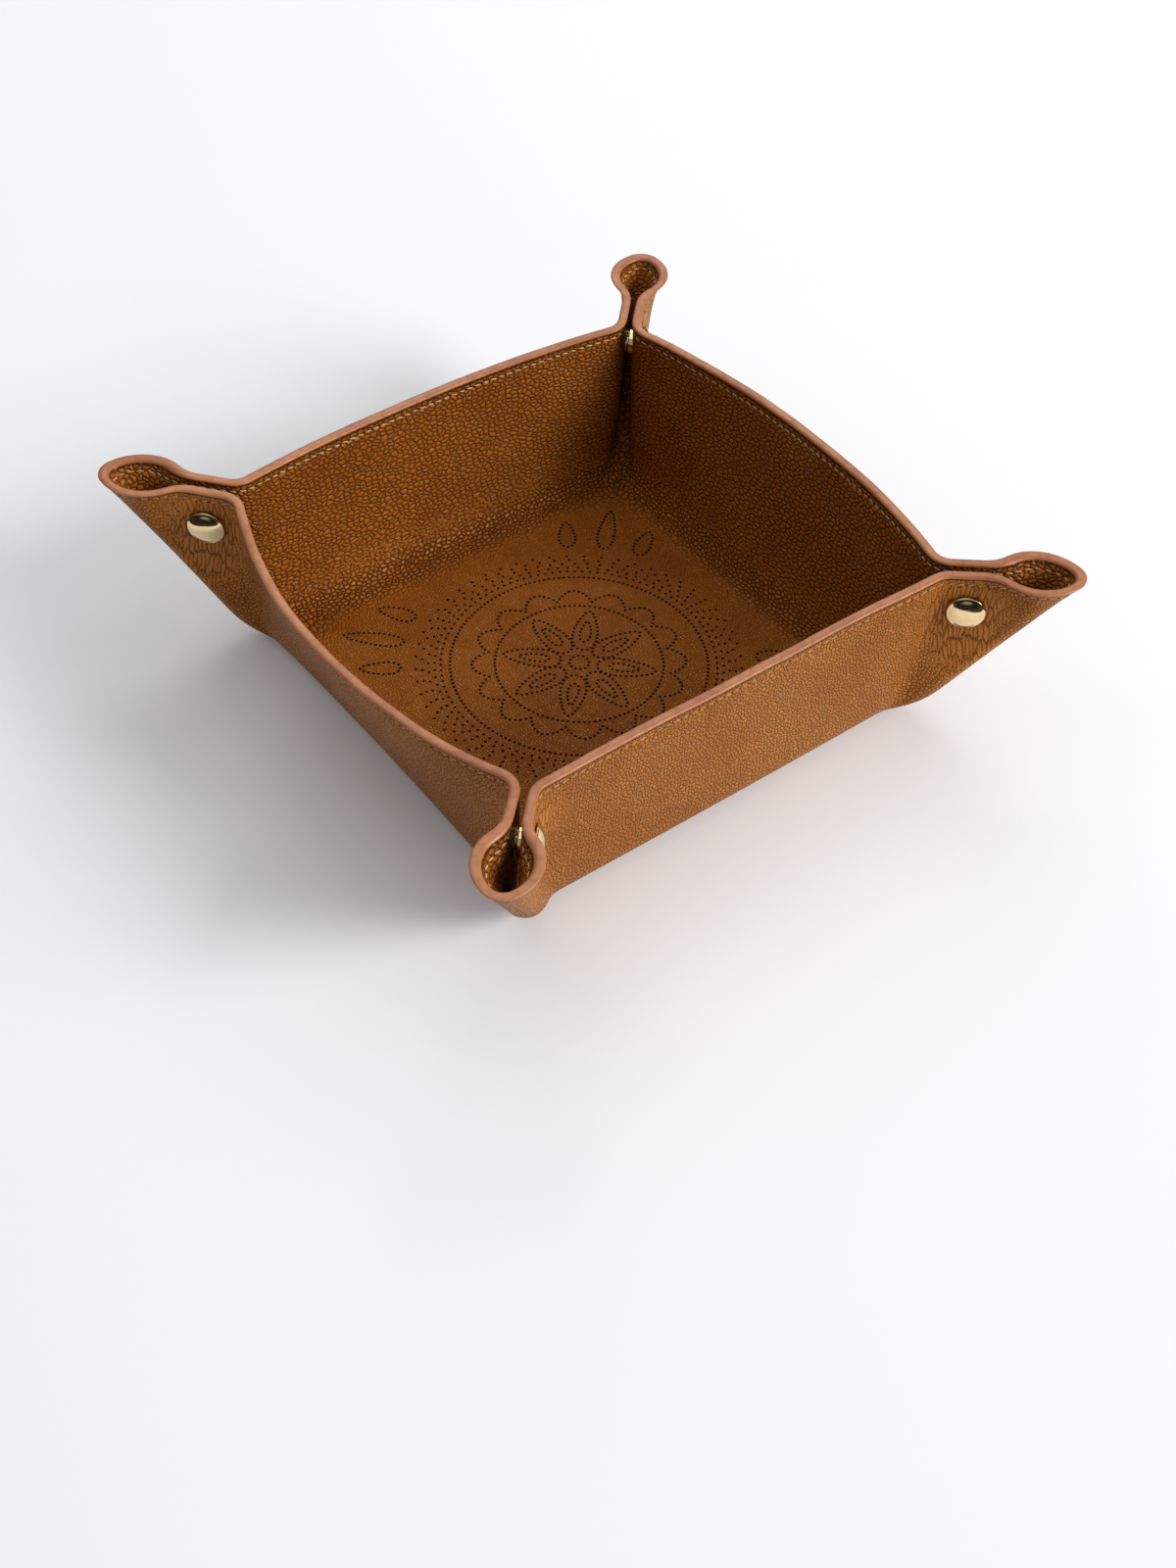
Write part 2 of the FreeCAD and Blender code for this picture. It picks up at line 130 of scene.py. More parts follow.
# %% Half an ear at any height
def arc(u, v, radius, start, bend):
    """Place on an arc that leaves (u, v) at the angle start, where its angle has become bend. A
    radius below zero turns it towards the diagonal."""
    return u + radius * (np.sin(bend) - np.sin(start)), v + radius * (np.cos(start) - np.cos(bend))


def half_ear(stretch, share, height, inset, bow):
    """Places (u, v) on half an ear: u runs out along the corner's diagonal, v away from it.
    A stretch is 0 neck, 1 parallel, 2 flare, 3 bulb or 4 tip, and share runs along it."""
    half = through_levels(EAR_GAP, height) / 2 + BOTH_HIDES
    wall = WALL_FOOT + (WALL_HEAD - WALL_FOOT) * climb(height)
    start = wall * math.sqrt(2) + NECK_RADIUS * (math.sqrt(2) - 1) - half
    end = through_levels(NECK_END, height)
    tip = through_levels(TIP_RADIUS, height)
    flare = through_levels(FLARE_ANGLE, height)
    turn = through_levels(TIP_ANGLE, height)
    reach = EAR_FOOT_REACH + (EAR_REACH - EAR_FOOT_REACH) * climb(height)
    # Radii of flare and bulb: the tip has to lie on the diagonal, and at the ear's reach.
    a1, b1 = 1 - np.cos(flare), np.cos(turn) - np.cos(flare)
    a2, b2 = np.sin(flare), np.sin(flare) - np.sin(turn)
    c1 = tip * np.cos(turn) - half
    c2 = reach - end - tip * (1 + np.sin(turn))
    whole = a1 * b2 - a2 * b1
    flare_radius = (c1 * b2 - c2 * b1) / whole + inset
    bulb_radius = (a1 * c2 - a2 * c1) / whole - inset
    side = half - inset
    # Each arc starts where the last one ended.
    neck = -(math.pi / 4 + bow * climb(height)) * (1 - share)
    flare_end = arc(end, side, flare_radius, 0.0, flare)
    bulb_end = arc(*flare_end, -bulb_radius, flare, turn)
    places = [arc(start, side, NECK_RADIUS + inset, 0.0, neck),
              (start + (end - start) * share, side),
              arc(end, side, flare_radius, 0.0, flare * share),
              arc(*flare_end, -bulb_radius, flare, flare + (turn - flare) * share),
              arc(*bulb_end, inset - tip, turn, turn + (-math.pi / 2 - turn) * share)]
    return [np.choose(stretch, part) for part in zip(*places)]


# %% [markdown]
# ## Stations
# A hide is built as rings, one above the other, and every ring has a vertex at the same stations:
# out along one side of an ear, round its tip, back along the other side, then along a wall, four
# times round. A station is close to the next one where the hide bends tightly.

# %% Stations once round the tray
STRETCH_STEPS = [7, 6, 7, 9, 7]     # neck, parallel, flare, bulb, half the tip
WALL_STEPS = 40
stations = []                       # corner, side of its diagonal, stretch, share; a wall is side 0
for corner in range(4):
    for side in (-1, 1):
        for stretch in (range(5) if side < 0 else reversed(range(5))):
            for step in range(STRETCH_STEPS[stretch]):
                share = step / STRETCH_STEPS[stretch]
                stations.append((corner, side, stretch, share if side < 0 else 1 - share))
    for step in range(WALL_STEPS):
        stations.append((corner, 0, 0, step / WALL_STEPS))
st_corner, st_side, st_stretch, st_share = [np.array(column) for column in zip(*stations)]
EAR_STEPS = 2 * sum(STRETCH_STEPS)
AROUND = EAR_STEPS + WALL_STEPS
BOW = np.radians([BOW_ANGLE[wall] for wall in WALLS])
corner_turn = np.radians(225 + 90 * np.arange(4))
corner_u = np.stack([np.cos(corner_turn), np.sin(corner_turn)], axis=1)
corner_v = np.stack([-np.sin(corner_turn), np.cos(corner_turn)], axis=1)


def in_tray(corner, u, v):
    return corner_u[corner] * u[:, None] + corner_v[corner] * v[:, None]


def right_of(way):
    return np.column_stack([way[:, 1], -way[:, 0]])


def plan(height, inset):
    """Plan place of every station, each at its own height, on a skin inset from the outside."""
    bow = np.where(st_side < 0, BOW[st_corner - 1], BOW[st_corner])
    u, v = half_ear(st_stretch, st_share, height, inset, bow)
    place = in_tray(st_corner, u, v * np.where(st_side < 0, -1, 1))
    # A wall is an arc from the neck behind it to the neck before it, with a trace of bow at least.
    wall = st_side == 0
    here, tall = st_corner[wall], height[wall]
    nothing = np.zeros_like(here)
    u, v = half_ear(nothing, nothing, tall, inset, BOW[here])
    start, end = in_tray(here, u, v), in_tray((here + 1) % 4, u, -v)
    chord = end - start
    half = np.linalg.norm(chord, axis=1)[:, None] / 2
    out = right_of(chord) / (2 * half)
    bow = (BOW[here] * climb(tall))[:, None] + 1e-7
    angle = bow * (2 * st_share[wall] - 1)[:, None]
    along = half * np.sin(angle) / np.sin(bow)
    bulge = half * (np.cos(angle) - np.cos(bow)) / np.sin(bow)
    place[wall] = (start + end) / 2 + chord / (2 * half) * along + out * bulge
    return place


# %% [markdown]
# ## Rim, bend and floor
# The rim rises towards the ears, because the hide is a flat sheet whose corners stand up further.
# Below the walls, each station comes round the floor bend on a quadratic curve that leaves the wall
# in the wall's own direction and arrives flat, so that floor, bend and ear are one smooth skin.

# %% Rim height, bend and floor at each station
RIM_SOFT = 0.8 * MM                 # how softly the dip runs out
SETTLE_ROUNDS = 6                   # a station's place depends on its height, so rounds settle it
CORNER_SHARES = np.array([0.14, 0.05, 0.12, 0.13, 0.06])    # of the floor's corner, one a stretch
LEAN_STEP = 0.05 * MM               # height over which a wall's lean is measured
LEAN_EASE = 5 * MM                  # length over which its slide along the outline is evened out


def dish(place):
    """Height of the trimmed rim: the ball's dip, which runs out softly at the top of the blank."""
    dip = RIM_LOW + RIM_DISH - np.sqrt(RIM_DISH ** 2 - (place ** 2).sum(axis=1))
    return (dip + BLANK_TOP - np.hypot(dip - BLANK_TOP, RIM_SOFT)) / 2


rim = np.full(len(stations), SNAP_HEIGHT + SNAP_PAD)
for settle in range(SETTLE_ROUNDS):
    rim = dish(plan(rim, 0.0))
print("rim height, mm:", round(rim.min() / MM, 1), "to", round(rim.max() / MM, 1))

# A plain rounded corner, divided so that each stretch meets its own stretch of the ear above it.
before = np.concatenate([[0.0], np.cumsum(CORNER_SHARES)])[:5]
share_round = before[st_stretch] + st_share * CORNER_SHARES[st_stretch]
angle = np.radians(90 * share_round - 45)
centre = (FLOOR_HALF - FLOOR_CORNER) * math.sqrt(2)
floor_edge = in_tray(st_corner, centre + FLOOR_CORNER * np.cos(angle),
                     -FLOOR_CORNER * np.sin(angle) * np.where(st_side < 0, -1, 1))
straight = st_side == 0
aside = np.full(len(stations), FLOOR_CORNER / math.sqrt(2))
wall_start = in_tray(st_corner, centre + aside, aside)
wall_end = in_tray((st_corner + 1) % 4, centre + aside, -aside)
mixed = wall_start + (wall_end - wall_start) * st_share[:, None]
floor_edge[straight] = mixed[straight]


def outward(place):
    out = right_of(np.roll(place, -1, axis=0) - np.roll(place, 1, axis=0))
    return out / np.linalg.norm(out, axis=1)[:, None]


def run_round(place):
    """Distance from each place to the next one, once round."""
    return np.linalg.norm(np.roll(place, -1, axis=0) - place, axis=1)


def lean_of(place, above):
    """How far an outline moves out for each step up. Its part along the outline only slides the
    stations, so that part is evened out, and no station overtakes the next one in the bend."""
    lean = (above - place) / LEAN_STEP
    out = outward(place)
    along = -right_of(out)
    run = run_round(place)
    ends = np.cumsum(run) - run
    apart = np.abs(ends[:, None] - ends)
    apart = np.minimum(apart, run.sum() - apart)
    near = np.exp(-(apart / LEAN_EASE) ** 2) * (run + np.roll(run, 1))
    slide = near @ (lean * along).sum(axis=1) / near.sum(axis=1)
    return out * (lean * out).sum(axis=1)[:, None] + along * slide[:, None]


def bend_place(inset, share):
    """Places round the floor bend: share 0 at the flat floor, 1 at the top of the bend."""
    top = np.full(len(stations), BEND_TOP)
    head = plan(top, inset)
    knee = head - lean_of(head, plan(top + LEAN_STEP, inset)) * (BEND_TOP - inset)
    flat = floor_edge * (1 - share) ** 2 + knee * 2 * share * (1 - share) + head * share ** 2
    height = inset + (BEND_TOP - inset) * share ** 2
    return np.column_stack([flat, np.full(len(stations), height)])


# %% [markdown]
# ## Softness
# The walls wave a little, the hide is drawn in round each press stud, and the seam pulls a shallow
# groove along the rim. All moves go along the outline's own outward direction. The waves are the
# same on every skin, so that the hides keep their thickness. The pull and the groove only dent the
# two faces that show.

# %% Soft moves
SEAM_DEPTH = 3.0 * MM               # seam below the rim
GROOVE = 0.36 * MM                  # the groove's depth, and half its width
GROOVE_HALF = 0.55 * MM
WAVE = 0.55 * MM                    # the waves' height, and how many go to a metre
LONG_WAVE, SHORT_WAVE = 24, 55
DRAWN_IN = 0.35 * MM                # the pull's depth outside, and its share on the lining
LINING_DRAWN_SHARE = 0.5
CALM_RING = (6 * MM, 13 * MM)       # no waves nearer a stud than the first, full waves past the second
DRAWN_RING = (5.5 * MM, 9.5 * MM)   # the full pull up to the first, none past the second
FLOOR_WAVE = 30                     # waves to a metre on the floor


def ease(low, high, value):
    t = np.clip((value - low) / (high - low), 0, 1)
    return t * t * (3 - 2 * t)


def soft_move(place, height):
    """How far each station moves out, for the waves of the wall and the pull of the studs."""
    points = [Vector((x, y, z)) for (x, y), z in zip(place, height)]
    wave = np.array([noise.noise(point * LONG_WAVE) + noise.noise(point * SHORT_WAVE) / 2
                     for point in points])
    wave *= WAVE * ease(BEND_TOP, SNAP_HEIGHT, height)
    u = (place * corner_u[st_corner]).sum(axis=1)
    reach = np.where(straight, 0.0, u) - SNAP_REACH
    ring = np.hypot(reach, height - SNAP_HEIGHT)
    flat = 1 - ease(*CALM_RING, ring)
    drawn = 1 - ease(*DRAWN_RING, ring)
    return wave * (1 - flat), -DRAWN_IN * drawn


# %% [markdown]
# ## Building a hide
# A bmesh starts as one small ring in the middle of the floor. The ring is extruded edge by edge,
# and each new ring is put at the next place on the way out along the floor, round the bend, up the
# wall to the rim, over the top and back down the glued side. Both ends are filled, so a hide is a
# closed solid with real thickness. The grid of rings is kept, to know which face lies where.

# %% Rings of one skin
WALL_RINGS = 20                     # up the wall, to where the seam's own rings start
SEAM_DEPTHS = np.array([0.3, 0.9, 1.5, 2.0, 2.4, 2.7, 3.0, 3.3, 3.6, 4.0, 4.6, 5.4, 6.4, 7.6]) * MM


def floor_height(x, y, inset, crown):
    """The floor is a little uneven, and level again where the bend starts."""
    calm = (1 - (x / FLOOR_HALF) ** 4) * (1 - (y / FLOOR_HALF) ** 4)
    return inset + crown * max(calm, 0.0) * noise.noise(Vector((x * FLOOR_WAVE, y * FLOOR_WAVE, 4.0)))


def floor_ring(inset, share, crown):
    place = floor_edge * share
    return np.column_stack([place, [floor_height(x, y, inset, crown) for x, y in place]])


def wall_ring(inset, height, show):
    """One ring up the wall. show is +1 on the outside skin, -1 on the lining, 0 on a glued face."""
    place = plan(height, inset)
    out = outward(place)
    wave, drawn = soft_move(plan(height, 0.0), height)
    depth = rim - height
    groove = GROOVE * np.exp(-((depth - SEAM_DEPTH) / GROOVE_HALF) ** 2)
    move = wave + show * (drawn * (1 if show > 0 else LINING_DRAWN_SHARE) - groove)
    return np.column_stack([place + out * move[:, None], height])


def skin_rings(inset, show, bend_rings, floor_shares, seam_depths, crown):
    """Rings of one skin from the middle of the floor to the rim."""
    rings = [floor_ring(inset, share, crown) for share in floor_shares]
    rings += [bend_place(inset, step / bend_rings) for step in range(bend_rings)]
    climb_to_seam = rim - seam_depths[-1] - BEND_TOP
    for step in range(WALL_RINGS):
        rings.append(wall_ring(inset, BEND_TOP + climb_to_seam * step / WALL_RINGS, show))
    rings += [wall_ring(inset, rim - depth, show) for depth in reversed(seam_depths)]
    return rings


# %% Extruding rings into a mesh
def ring_edges(bm, ring):
    return [bm.edges.get((ring[i - 1], ring[i])) for i in range(len(ring))]


def extrude_ring(bm, ring, places):
    """Extrude a ring of vertices and put each new vertex at its place."""
    made = bmesh.ops.extrude_edge_only(bm, edges=ring_edges(bm, ring))["geom"]
    fresh = {item for item in made if isinstance(item, bmesh.types.BMVert)}
    risen = []
    for vert, place in zip(ring, places):
        partner = next(e.other_vert(vert) for e in vert.link_edges if e.other_vert(vert) in fresh)
        partner.co = place
        risen.append(partner)
    return risen


def rings_to_mesh(rings, closed):
    """A bmesh through all the rings, and the grid of its vertices. Its layers come first, because
    a new layer would make the grid's vertices stale."""
    bm = bmesh.new()
    bm.faces.layers.int.new("piece")
    bm.verts.layers.float_vector.new("whole_normal")
    bm.verts.layers.float.new("pull")
    bm.verts.layers.float_vector.new("sheet")
    first = [bm.verts.new(place) for place in rings[0]]
    for i in range(len(first)):
        bm.edges.new((first[i - 1], first[i]))
    grid = [first]
    for places in rings[1:]:
        grid.append(extrude_ring(bm, grid[-1], places))
    if closed:
        for ring in (grid[0], grid[-1]):
            bmesh.ops.edgeloop_fill(bm, edges=ring_edges(bm, ring))
    bmesh.ops.recalc_face_normals(bm, faces=bm.faces)
    return bm, grid


# %% [markdown]
# ## Pieces that bend
# Each ear's free side swings about the ear's fold when its stud is undone. Real leather does not
# part there, so the wall next to a free side bends with it. The hide is cut into the part that
# stays with the tray and one piece for each free side, which reaches to the middle of the wall. A
# blended piece turns with the tray along its far border and with the flap at the stud. A longer
# piece would swing further out at its far end and fold over itself there. The normals are taken
# before the cut, so it doesn't show.

# %% Which stations go with which flap
FLAP_STEPS = EAR_STEPS // 2 + WALL_STEPS // 2
BLEND_WIDTH = 27 * MM               # wider is softer, but the leather at the stud has to turn fully
BLEND_MARGIN = 1 * MM               # the bend ends this far above the rim at the piece's far border
FOLD_HALF = 0.8 * MM
TIP = 4                             # the stretch round an ear's tip
FIRST_FOLD = 4                      # piece numbers: -1 the tray's own, 0 to 3 flaps, 4 to 7 folds


def flap_stations(corner):
    """Stations from an ear's tip, along its free side, to the middle of the wall beside it."""
    tip = corner * AROUND + EAR_STEPS // 2
    if CAP_SIDE[CORNERS[corner]] < 0:
        return [(tip + i) % len(stations) for i in range(FLAP_STEPS)]
    return [(tip - 1 - i) % len(stations) for i in range(FLAP_STEPS)]


station_flap = np.full(len(stations), -1)
for corner in range(4):
    station_flap[flap_stations(corner)] = corner


def blend_line(corner):
    """Start and end of the bend between tray and flap, square to a line from the foot of the ear's
    fold to the rim where the blended piece ends."""
    name = CORNERS[corner]
    free_side = -CAP_SIDE[name]
    towards_ear = Vector(corner_u[corner] - free_side * corner_v[corner]).to_3d().normalized()
    foot = Vector(corner_u[corner] * EAR_FOOT_REACH).to_3d() + Vector((0, 0, BEND_TOP))
    last = flap_stations(corner)[-1]
    border = Vector((*plan(rim, 0.0)[last], rim[last] + BLEND_MARGIN)) - foot
    across = (towards_ear * border.z - Vector((0, 0, border.dot(towards_ear)))).normalized()
    return foot, foot + across * BLEND_WIDTH


# %% Cutting a mesh into pieces
def quads(grid):
    """Faces between the rings of a grid, with their station."""
    for lower, upper in zip(grid, grid[1:]):
        for i in range(len(lower)):
            j = (i + 1) % len(lower)
            yield i, (lower[i], lower[j], upper[j], upper[i])


def mesh_object(bm, name, finish, normals=None):
    """A smooth object from a bmesh, with given vertex normals where there are any."""
    mesh = bpy.data.meshes.new(name)
    bm.to_mesh(mesh)
    bm.free()
    mesh.shade_smooth()
    if normals:
        mesh.normals_split_custom_set_from_vertices(normals)
    mesh.materials.append(finish)
    made = bpy.data.objects.new(name, mesh)
    bpy.context.collection.objects.link(made)
    return made


def piece_from(bm, name, finish, keep):
    """An object with the faces whose piece number is keep, and the whole mesh's normals."""
    part = bm.copy()
    tag = part.faces.layers.int["piece"]
    bmesh.ops.delete(part, geom=[f for f in part.faces if f[tag] != keep], context="FACES")
    normal = part.verts.layers.float_vector["whole_normal"]
    return mesh_object(part, name, finish, [tuple(v[normal]) for v in part.verts])


def tip_line(corner):
    """Start and end of the bend across an ear's fold, from its fixed side to its free side."""
    aside = Vector(corner_v[corner] * -CAP_SIDE[CORNERS[corner]]).to_3d() * FOLD_HALF
    return -aside, aside


def cut_into_pieces(bm, grid, wall_rings, name, finish, nodes, folds):
    """Split a ringed mesh into the tray's own piece, the four that bend with the flaps, and, where
    folds is true, four narrow ones inside the ears' folds."""
    tag = bm.faces.layers.int["piece"]
    normal = bm.verts.layers.float_vector["whole_normal"]
    bm.normal_update()
    for vert in bm.verts:
        vert[normal] = vert.normal
    for face in bm.faces:
        face[tag] = -1
    goes_with = np.where((st_stretch == TIP) & folds, FIRST_FOLD + st_corner, station_flap)
    low, high = wall_rings
    for i, corners in quads(grid[low:high]):
        bm.faces.get(corners)[tag] = int(goes_with[i])
    tray_piece = piece_from(bm, name, finish, -1)
    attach(tray_piece, "tray")
    made = [tray_piece]
    for corner, place in enumerate(CORNERS):
        made.append(piece_from(bm, f"{name}_{place}", finish, corner))
        start, end = blend_line(corner)
        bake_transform(made[-1], "tray", f"flap_{place}", start=start, end=end)
    for piece, stands_for in zip(made, nodes):
        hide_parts(*stands_for)
    for corner, place in enumerate(CORNERS if folds else []):
        made.append(piece_from(bm, f"{name}_fold_{place}", finish, FIRST_FOLD + corner))
        start, end = tip_line(corner)
        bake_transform(made[-1], "tray", f"flap_{place}", start=start, end=end)
    print(name, "pieces:", len(made), "triangles:", sum(len(f.verts) - 2 for f in bm.faces))
    bm.free()


# %% [markdown]
# ## Leather
# Both hides are a cognac calf with a pebble grain: rounded islands with darker valleys between them.
# An image of leather would repeat. A Voronoi texture gives islands without end, but read in the
# solid it cuts some of them to slivers. So every vertex carries an attribute named `sheet`: its
# place when the hide was still flat, and its depth below the rim. Islands read there lie in the hide
# itself and run on round bend and fold. The lining is coarse on the walls, where it is drawn out
# along them, and pressed fine on the floor. The outside is fine, and creases upright near the studs,
# which an attribute named `pull` marks.

# %% Node helpers
def new_finish(name):
    finish = bpy.data.materials.new(name)
    finish.use_nodes = True
    finish.node_tree.nodes.clear()
    shader = finish.node_tree.nodes.new("ShaderNodeBsdfPrincipled")
    output = finish.node_tree.nodes.new("ShaderNodeOutputMaterial")
    finish.node_tree.links.new(shader.outputs["BSDF"], output.inputs["Surface"])
    return finish, shader


def fill(finish, node, inputs):
    """Fill a node's inputs with values or with other nodes' sockets."""
    for socket, value in inputs.items():
        if isinstance(value, bpy.types.NodeSocket):
            finish.node_tree.links.new(value, node.inputs[socket])
        else:
            node.inputs[socket].default_value = value
    return finish


def add_node(finish, kind, inputs, output=0, **settings):
    """Add a node, fill its inputs, and return one output."""
    made = finish.node_tree.nodes.new(kind)
    for setting, value in settings.items():
        setattr(made, setting, value)
    fill(finish, made, inputs)
    return made.outputs[output]


def own_place(finish):
    return add_node(finish, "ShaderNodeTexCoord", {}, "Object")


def cloudy(finish, scale, detail, output=0):
    """Noise on the object's own coordinates."""
    return add_node(finish, "ShaderNodeTexNoise", {"Vector": own_place(finish), "Scale": scale,
                    "Detail": detail}, output)


def raised(finish, height, distance, strength, **under):
    """A normal raised by a height, over the normal under it where one is given."""
    return add_node(finish, "ShaderNodeBump", {"Height": height, "Distance": distance,
                    "Strength": strength, **under}, "Normal")


def remap(finish, value, low, high, to_low=0.0, to_high=1.0):
    return add_node(finish, "ShaderNodeMapRange", {"Value": value, "From Min": low, "From Max": high,
                    "To Min": to_low, "To Max": to_high}, interpolation_type="SMOOTHSTEP")


# A Mix node has sockets of every type: 6 and 7 are its colours, 2 and 3 its values.
def mix_colour(finish, factor, first, second):
    return add_node(finish, "ShaderNodeMix", {0: factor, 6: first, 7: second}, 2, data_type="RGBA")


def mix_value(finish, factor, first, second):
    return add_node(finish, "ShaderNodeMix", {0: factor, 2: first, 3: second}, 0, data_type="FLOAT")


def tint(red, green, blue):
    """A linear colour from the 0 to 255 numbers of a colour picker."""
    linear = [c / 12.92 if c <= 0.04045 else ((c + 0.055) / 1.055) ** 2.4
              for c in (red / 255, green / 255, blue / 255)]
    return (*linear, 1.0)


# %% Leather grain
GRAIN_WARP = 1.5 * MM               # how far the islands drift from the even pattern
CREASE_SHADE_DEPTH = 1.0 * MM             # a dark line below the painted edge, partly creased in and partly painted shade under the bead, and half its width
CREASE_SHADE_HALF = 0.28 * MM
PORE_HEIGHT = 0.05 * MM
ROUND = (1.0, 1.0, 1.0)             # islands that are not drawn out


def islands(finish, place, cell, stretch, valley):
    """Height of a pebble grain: valley between the islands, 1 on top of them."""
    drawn = add_node(finish, "ShaderNodeMapping", {"Vector": place, "Scale": stretch})
    edge = add_node(finish, "ShaderNodeTexVoronoi", {"Vector": drawn, "Scale": 1 / cell,
                    "Randomness": 0.9}, "Distance", feature="DISTANCE_TO_EDGE",
                    voronoi_dimensions="2D")
    return remap(finish, edge, -0.10, 0.36, valley, 1.0)


def maths(finish, operation, *values):
    return add_node(finish, "ShaderNodeMath", dict(enumerate(values)), operation=operation)


def strip_of(finish, sheet):
    """A place on the sheet, told as the way along the nearest wall and the way out from the middle."""
    x, y = [add_node(finish, "ShaderNodeSeparateXYZ", {"Vector": sheet}, axis) for axis in "XY"]
    wide, deep = maths(finish, "ABSOLUTE", x), maths(finish, "ABSOLUTE", y)
    along = mix_value(finish, maths(finish, "GREATER_THAN", wide, deep), x, y)
    out = maths(finish, "MAXIMUM", wide, deep)
    return add_node(finish, "ShaderNodeCombineXYZ", {"X": along, "Y": out}), out


def leather(name, tone, shade, glow, grain_of, grain_height, gloss):
    """A hide: islands in tone, valleys in shade, and patches warmed towards glow."""
    finish, shader = new_finish(name)
    sheet = add_node(finish, "ShaderNodeAttribute", {}, "Vector", attribute_name="sheet")
    drift = cloudy(finish, 300.0, 1.0, "Color")
    warped = add_node(finish, "ShaderNodeVectorMath", {0: drift, 1: (GRAIN_WARP, GRAIN_WARP, 0.0),
                      2: sheet}, operation="MULTIPLY_ADD")
    grain = grain_of(finish, warped, *strip_of(finish, warped))
    cloud, pores = cloudy(finish, 34.0, 5.0), cloudy(finish, 2600.0, 3.0)
    patches = mix_colour(finish, remap(finish, cloud, 0.36, 0.66), tone, glow)
    speckled = mix_colour(finish, remap(finish, pores, 0.42, 0.62, 0.0, 0.22), patches, shade)
    grained = mix_colour(finish, remap(finish, grain, 0.12, 0.70), shade, speckled)
    depth = add_node(finish, "ShaderNodeSeparateXYZ", {"Vector": sheet}, "Z")
    # A dark line just below the painted edge: partly a creased line, partly painted shade under the bead's
    # overhang.
    crease_and_shade = maths(finish, "COMPARE", depth, CREASE_SHADE_DEPTH, CREASE_SHADE_HALF)
    crease_and_shade = maths(finish, "MULTIPLY", crease_and_shade, 0.75)
    pebbles = raised(finish, grain, grain_height, 1.0)
    return fill(finish, shader, {
        "Base Color": mix_colour(finish, crease_and_shade, grained, tint(46, 20, 6)),
        "Roughness": remap(finish, grain, 0.1, 0.9, 0.64, 0.36),
        "Specular IOR Level": gloss,
        "Specular Tint": (1.0, 0.86, 0.64, 1.0),
        "Normal": raised(finish, pores, PORE_HEIGHT, 0.5, Normal=pebbles)})


# %% The two hides' grain
TO_BEADS = (FLOOR_HALF - 10 * MM, FLOOR_HALF + 5 * MM)      # from the middle of the flat sheet
TO_ROWS = (FLOOR_HALF + 10 * MM, FLOOR_HALF + 28 * MM)


def lining_grain(finish, sheet, strip, out):
    """Fine islands on the floor, beads round the bend and drawn-out rows on the walls."""
    floor = islands(finish, sheet, 1.0 * MM, ROUND, 0.42)
    beads = islands(finish, sheet, 1.9 * MM, ROUND, 0.0)
    rows = islands(finish, strip, 1.4 * MM, (0.6, 1.0, 1.0), 0.1)
    wall = mix_value(finish, remap(finish, out, *TO_ROWS), beads, rows)
    return mix_value(finish, remap(finish, out, *TO_BEADS), floor, wall)


def outer_grain(finish, sheet, strip, out):
    """Fine islands all over, and upright creases near the studs."""
    pull = add_node(finish, "ShaderNodeAttribute", {}, "Fac", attribute_name="pull")
    fine = islands(finish, sheet, 1.3 * MM, ROUND, 0.06)
    creases = islands(finish, strip, 1.5 * MM, (1.0, 0.22, 1.0), 0.0)
    return mix_value(finish, maths(finish, "MULTIPLY", pull, 0.8), fine, creases)


outer_leather = leather("outer_calf", tint(176, 106, 38), tint(92, 46, 12), tint(188, 118, 48),
                        outer_grain, 0.34 * MM, 0.20)
# The lining's colours are darker than the outside's: painted shade for the dim inside of the tray.
lining_leather = leather("lining_calf", tint(154, 83, 15), tint(56, 23, 3), tint(168, 95, 22),
                         lining_grain, 0.56 * MM, 0.32)

# %% [markdown]
# ## The two hides
# The outer hide is the skin seen from outside and below. It starts in the middle of the underside
# and climbs to the rim, and its glued side comes back down inside the wall. The lining is the same,
# one hide further in, with the glued side behind it.

# %% Making the hides
GLUED_DEPTHS = np.concatenate([[0.0], SEAM_DEPTHS])
LINING_CROWN = 0.25 * MM
FINE_FLOOR = [0.02] + [step / 14 for step in range(1, 14)]
COARSE_FLOOR = [0.02, 0.5]
FACE_BEND, GLUED_BEND = 9, 4        # rings round the floor bend
BEND_LENGTH = 1.62 * BEND_TOP       # along the quadratic curve of the bend
PULL_DROP = 0.55                    # heights below a stud count this much, so creases hang down
PULL_RING = (7 * MM, 18 * MM)       # full creases up to the first, none past the second
PULL_ASIDE = (8 * MM, 18 * MM)


def mark_pull(bm):
    """How near each vertex is to a press stud, for the creases there."""
    pull = bm.verts.layers.float["pull"]
    for vert in bm.verts:
        reach = (abs(vert.co.x) + abs(vert.co.y)) / math.sqrt(2)
        aside = abs(abs(vert.co.x) - abs(vert.co.y)) / math.sqrt(2)
        below = SNAP_HEIGHT - vert.co.z
        ring = math.hypot(reach - SNAP_REACH, below * (PULL_DROP if below > 0 else 1.0))
        vert[pull] = float((1 - ease(*PULL_RING, ring)) * (1 - ease(*PULL_ASIDE, aside)))


